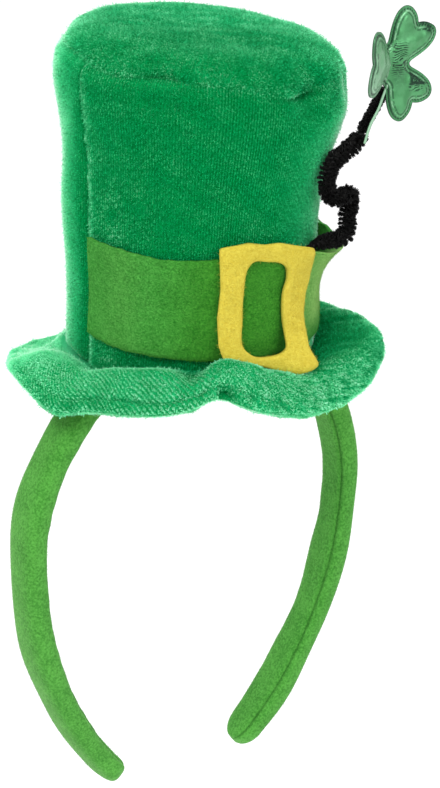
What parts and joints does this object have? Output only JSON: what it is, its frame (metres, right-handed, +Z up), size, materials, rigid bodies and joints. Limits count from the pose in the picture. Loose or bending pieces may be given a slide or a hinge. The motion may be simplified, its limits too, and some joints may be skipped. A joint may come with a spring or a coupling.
{
  "type": "mini top hat headband",
  "caption": "Small plush top hat with a felt band and buckle and a foil shamrock on a bent chenille stem, sewn to a padded headband worn on the head.",
  "frame": {"origin": "inner face of the headband at the top of its arch, where it sits on the head", "axes": "+Z up out of the hat's top, the headband's arch in the XZ plane, the buckle towards -Y"},
  "size_m": [0.134, 0.117, 0.2667],
  "materials": {
    "headband_fabric": "brushed knit over foam",
    "plush_green": "short-pile plush with a pale sheen",
    "felt_green": "craft felt",
    "felt_yellow": "craft felt",
    "chenille_black": "bristled chenille",
    "foil_green": "embossed metallic foil film"
  },
  "bodies": {
    "root": {"headband": "headband_fabric", "brim": "plush_green", "crown_front": "plush_green", "crown_back": "plush_green", "crown_top": "plush_green", "hat_band": "felt_green", "buckle": "felt_yellow", "pipe_cleaner": "chenille_black", "shamrock": "foil_green"}
  },
  "joints": []
}
